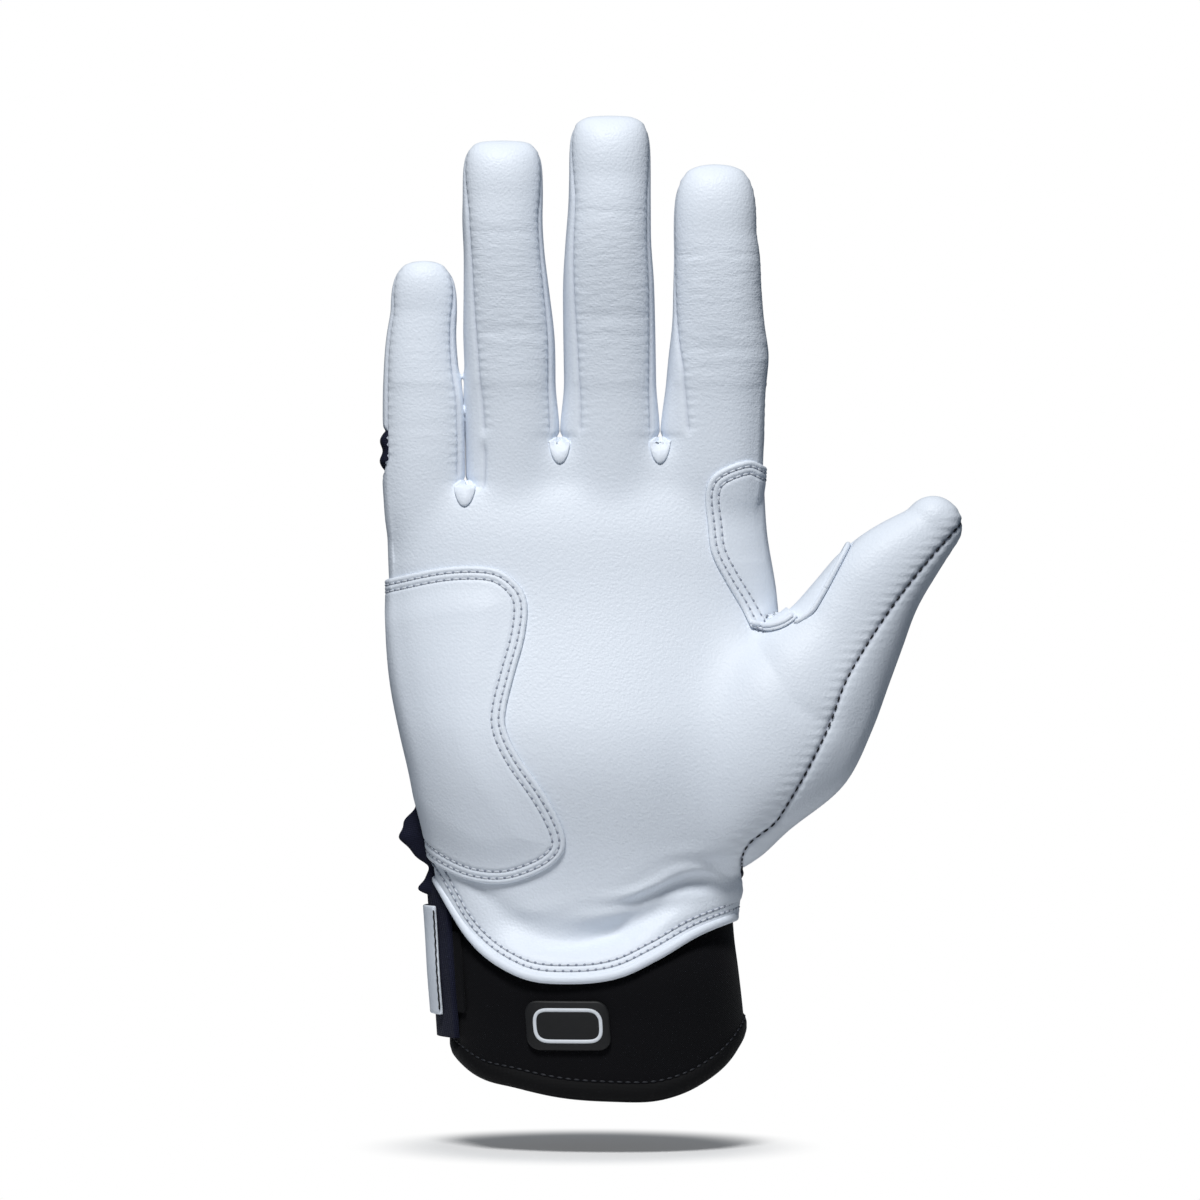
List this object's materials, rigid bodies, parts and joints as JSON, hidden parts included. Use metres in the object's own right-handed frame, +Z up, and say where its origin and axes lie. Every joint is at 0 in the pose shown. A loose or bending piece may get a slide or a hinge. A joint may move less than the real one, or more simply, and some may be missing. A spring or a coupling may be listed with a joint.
{
  "type": "batting glove",
  "caption": "Right-hand batting glove in its worn shape, with jointed finger stalls, a padded heel patch, a knit cuff and a wrap strap that opens.",
  "frame": {"origin": "centre of the hand opening at the bottom of the cuff", "axes": "+X to the thumb side, +Y to the back of the hand, +Z up the fingers; the palm faces -Y"},
  "size_m": [0.144, 0.0571, 0.2429],
  "materials": {
    "white_leather": "fine grain, satin",
    "palm_patch": "fine grain, padded",
    "navy_stretch": "woven stretch",
    "black_knit": "knit over neoprene",
    "black_binding": "folded tape",
    "moulded_rubber": "moulded, matte",
    "foam": "soft foam",
    "elastic": "woven elastic",
    "hook_and_loop": "hook and loop pile"
  },
  "bodies": {
    "hand": {"palm_panel": "white_leather", "thumb_base_panel": "white_leather", "back_panel": "white_leather", "back_stretch_panel": "navy_stretch", "crotch_gusset_little_ring": "white_leather", "crotch_gusset_ring_middle": "white_leather", "crotch_gusset_middle_index": "white_leather", "palm_edge_binding": "white_leather", "heel_foam_pad": "foam", "heel_patch": "palm_patch", "web_gusset": "palm_patch", "wrist_elastic": "elastic", "cuff_palm_band": "black_knit", "cuff_flap_ulnar": "black_knit", "cuff_flap_radial": "black_knit", "cuff_hem_binding": "black_binding", "wrist_badge": "moulded_rubber", "closure_loop_patch": "hook_and_loop", "strap_anchor_tab": "navy_stretch"},
    "strap": {"strap_base": "navy_stretch", "strap_face": "white_leather", "strap_pull_tab": "moulded_rubber", "strap_hook_patch": "hook_and_loop"},
    "little_base": {"little_base_front": "white_leather", "little_base_radial_fourchette": "white_leather", "little_base_back": "white_leather", "little_knuckle_flex": "navy_stretch"},
    "little_end": {"little_end_front": "white_leather", "little_end_radial_fourchette": "white_leather", "little_end_back": "white_leather"},
    "ring_base": {"ring_base_front": "white_leather", "ring_base_radial_fourchette": "white_leather", "ring_base_back": "white_leather", "ring_base_ulnar_fourchette": "white_leather", "ring_knuckle_flex": "navy_stretch"},
    "ring_end": {"ring_end_front": "white_leather", "ring_end_radial_fourchette": "white_leather", "ring_end_back": "white_leather", "ring_end_ulnar_fourchette": "white_leather"},
    "middle_base": {"middle_base_front": "white_leather", "middle_base_radial_fourchette": "white_leather", "middle_base_back": "white_leather", "middle_base_ulnar_fourchette": "white_leather", "middle_knuckle_flex": "navy_stretch"},
    "middle_end": {"middle_end_front": "white_leather", "middle_end_radial_fourchette": "white_leather", "middle_end_back": "white_leather", "middle_end_ulnar_fourchette": "white_leather"},
    "index_base": {"index_base_front": "white_leather", "index_base_back": "white_leather", "index_base_ulnar_fourchette": "white_leather", "index_knuckle_flex": "navy_stretch"},
    "index_end": {"index_end_front": "white_leather", "index_end_back": "white_leather", "index_end_ulnar_fourchette": "white_leather"},
    "thumb_base": {"thumb_base_front": "white_leather", "thumb_base_back": "white_leather"},
    "thumb_end": {"thumb_end_front": "white_leather", "thumb_end_back": "white_leather"}
  },
  "joints": [
    {"name": "little_root_bend", "type": "hinge", "parent": "hand", "child": "little_base", "pos_m": [-0.04085, -0.00825, 0.147], "axis": [1, 0, 0], "range_deg": [0, 85], "stiffness_Nm_per_rad": 0.02},
    {"name": "little_knuckle_bend", "type": "hinge", "parent": "little_base", "child": "little_end", "pos_m": [-0.04115, -0.0086, 0.1605], "axis": [1, 0, 0], "range_deg": [0, 90], "stiffness_Nm_per_rad": 0.02},
    {"name": "ring_root_bend", "type": "hinge", "parent": "hand", "child": "ring_base", "pos_m": [-0.01865, -0.00925, 0.158], "axis": [1, 0, 0], "range_deg": [0, 85], "stiffness_Nm_per_rad": 0.02},
    {"name": "ring_knuckle_bend", "type": "hinge", "parent": "ring_base", "child": "ring_end", "pos_m": [-0.01905, -0.0095, 0.1838], "axis": [1, 0, 0], "range_deg": [0, 90], "stiffness_Nm_per_rad": 0.02},
    {"name": "middle_root_bend", "type": "hinge", "parent": "hand", "child": "middle_base", "pos_m": [0.0053, -0.0095, 0.158], "axis": [1, 0, 0], "range_deg": [0, 85], "stiffness_Nm_per_rad": 0.02},
    {"name": "middle_knuckle_bend", "type": "hinge", "parent": "middle_base", "child": "middle_end", "pos_m": [0.0051, -0.0097, 0.1874], "axis": [1, 0, 0], "range_deg": [0, 90], "stiffness_Nm_per_rad": 0.02},
    {"name": "index_root_bend", "type": "hinge", "parent": "hand", "child": "index_base", "pos_m": [0.0306, -0.0095, 0.158], "axis": [1, 0, 0], "range_deg": [0, 85], "stiffness_Nm_per_rad": 0.02},
    {"name": "index_knuckle_bend", "type": "hinge", "parent": "index_base", "child": "index_end", "pos_m": [0.0318, -0.0097, 0.1796], "axis": [1, 0, 0], "range_deg": [0, 90], "stiffness_Nm_per_rad": 0.02},
    {"name": "thumb_root_bend", "type": "hinge", "parent": "hand", "child": "thumb_base", "pos_m": [0.06192, -0.02115, 0.10758], "axis": [0.788, 0, -0.6157], "range_deg": [0, 35], "stiffness_Nm_per_rad": 0.02},
    {"name": "thumb_joint_bend", "type": "hinge", "parent": "thumb_base", "child": "thumb_end", "pos_m": [0.07147, -0.01963, 0.1198], "axis": [0.788, 0, -0.6157], "range_deg": [0, 60], "stiffness_Nm_per_rad": 0.02},
    {"name": "strap_open", "type": "hinge", "parent": "hand", "child": "strap", "pos_m": [-0.03794, -0.0103, 0.017], "axis": [-0.0752, 0, 0.9972], "range_deg": [0, 110]}
  ]
}
